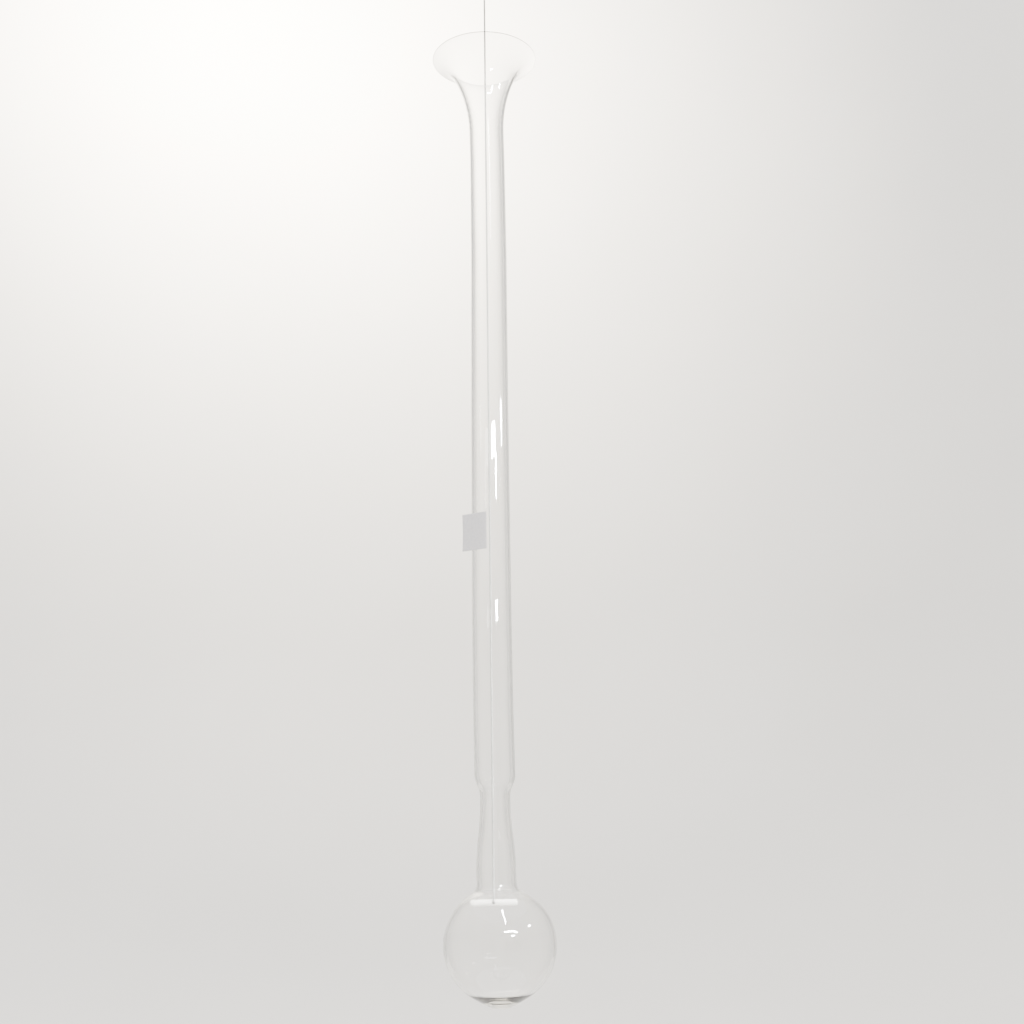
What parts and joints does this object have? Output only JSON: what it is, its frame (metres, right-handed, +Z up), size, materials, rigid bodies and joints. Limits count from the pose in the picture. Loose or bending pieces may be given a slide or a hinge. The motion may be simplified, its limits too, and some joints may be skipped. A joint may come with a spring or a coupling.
{
  "type": "yard-of-ale glass on a hanging line",
  "caption": "Long clear hand-blown yard glass with a trumpet mouth, pinched throat and round bulb, hung on a cord by a toggle inside the bulb.",
  "frame": {"origin": "where the hook's screw shank enters the ceiling, on the axis of the glass", "axes": "+Z up along the axis of the glass, from bulb to mouth; -Y towards the viewer; +X to the viewer's right"},
  "size_m": [0.1048, 0.1048, 1.06],
  "materials": {
    "clear_glass": "clear, fire-polished, hand-blown soda glass",
    "hook_steel": "bright zinc plate",
    "cord": "laid nylon cord",
    "toggle_wood": "plain pale dowel",
    "label_paper": "matt white sticky label"
  },
  "bodies": {
    "hook": {"ceiling_hook": "hook_steel"},
    "line": {"line_loop": "cord", "loop_knot": "cord", "hanging_line": "cord"},
    "tie": {"toggle_tie": "cord"},
    "toggle": {"toggle_bar": "toggle_wood"},
    "glass": {"trumpet_mouth": "clear_glass", "long_tube": "clear_glass", "throat_neck": "clear_glass", "ale_bulb": "clear_glass", "pontil_base": "clear_glass", "lot_label": "label_paper"}
  },
  "joints": [
    {"name": "line_swing", "type": "hinge", "parent": "hook", "child": "line", "pos_m": [0.00176, 0, -0.024], "axis": [1, 0, 0], "range_deg": [-15, 15]},
    {"name": "line_twist", "type": "hinge", "parent": "line", "child": "tie", "pos_m": [-0.00486, 0, -0.9504], "axis": [0.0071, 0, 1], "continuous": true},
    {"name": "glass_lift", "type": "slide", "parent": "tie", "child": "glass", "axis": [0, 0, 1], "range_m": [0, 0.045]},
    {"name": "toggle_tip", "type": "hinge", "parent": "tie", "child": "toggle", "pos_m": [-0.0049, 0.0045, -0.9564], "axis": [0, -1, 0], "range_deg": [0, 90]}
  ],
  "couplings": [
    {"joint": "toggle_tip", "follows": "glass_lift", "rad_per_m": 34.906}
  ]
}
